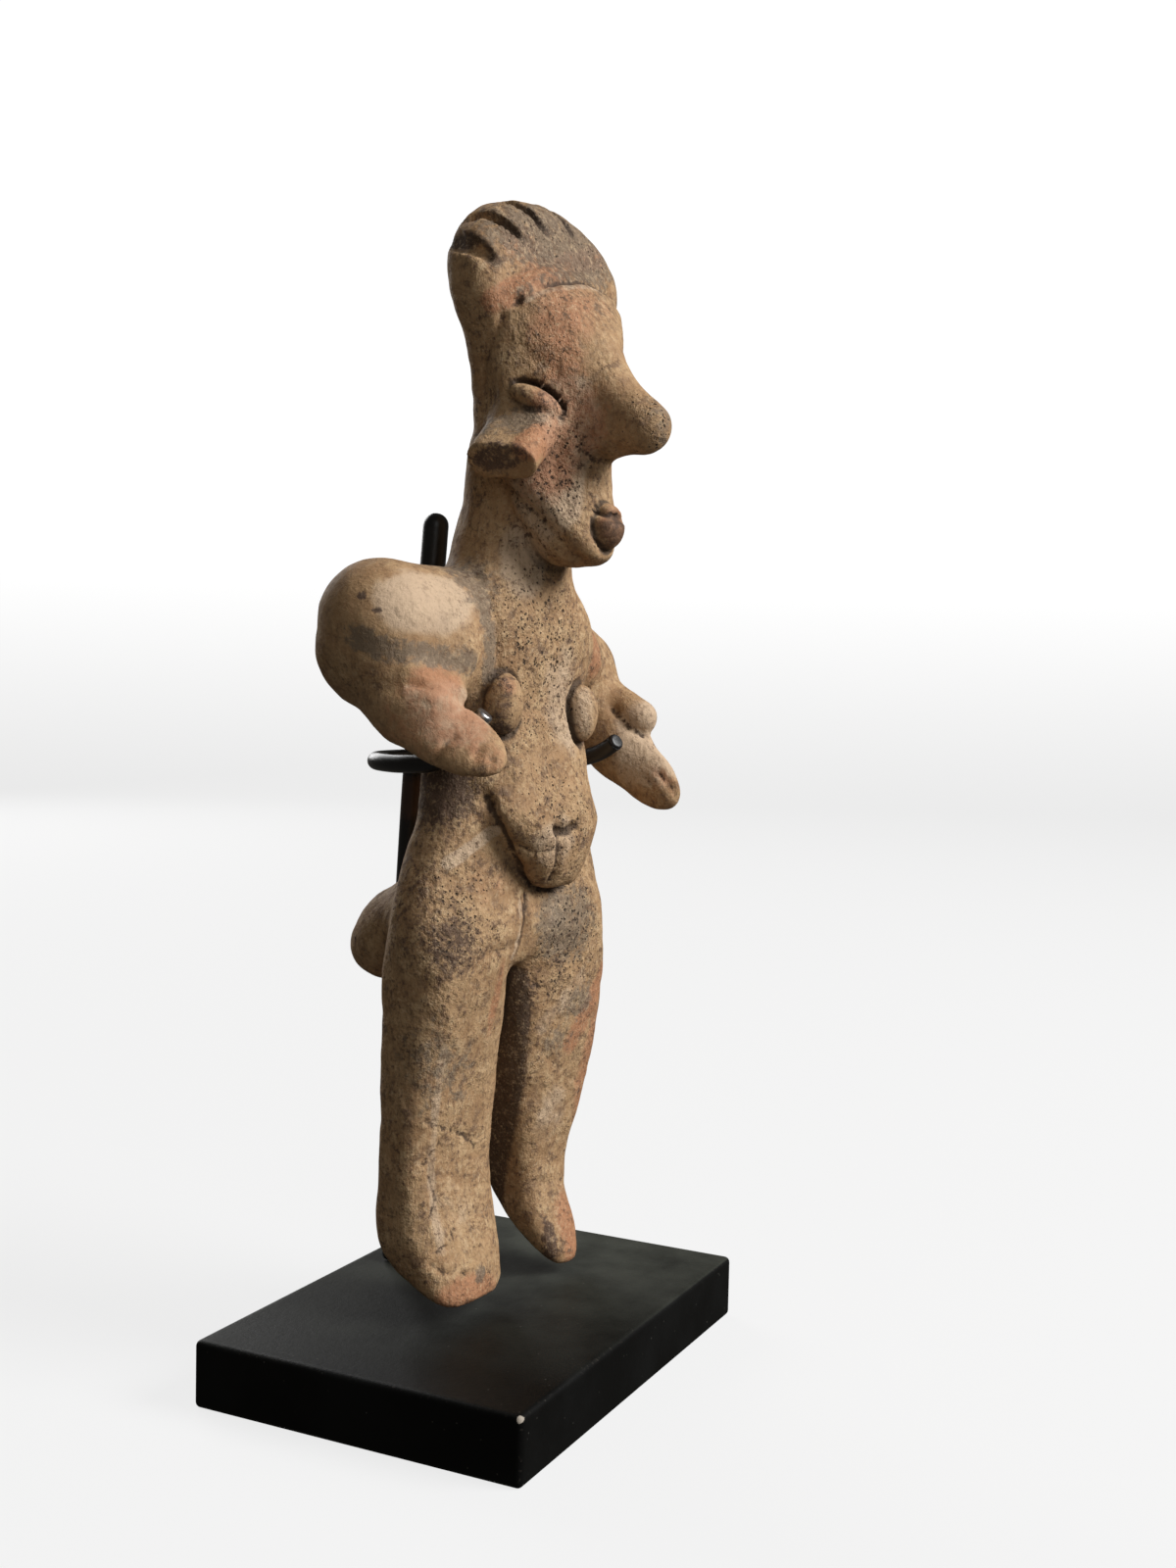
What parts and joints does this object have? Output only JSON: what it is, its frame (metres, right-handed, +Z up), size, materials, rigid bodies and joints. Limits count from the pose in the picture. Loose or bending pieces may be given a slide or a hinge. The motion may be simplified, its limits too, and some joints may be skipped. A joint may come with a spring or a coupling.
{
  "type": "fired clay standing figure on a display plinth",
  "caption": "Hand-modelled nude female figure of fired clay with a fan-shaped crest and hands held forward, carried above a flat plinth by a bent rod mount",
  "frame": {"origin": "middle of the plinth's underside, on the surface it stands on", "axes": "+Z up, the plinth's front edge along X, the figure faces -Y, turned 7.5 degrees clockwise seen from above"},
  "size_m": [0.0754, 0.0548, 0.1793],
  "materials": {
    "clay": "unglazed fired clay, matt buff to orange-brown, with dark pits, grey and sooty stains and fine cracks",
    "black_rod": "gloss black paint on steel rod, bare metal at the cut ends",
    "black_plinth": "satin black lacquer, dusty on top and rubbed at one corner"
  },
  "bodies": {
    "root": {"figure": "clay", "rod_mount": "black_rod", "plinth": "black_plinth"}
  },
  "joints": []
}
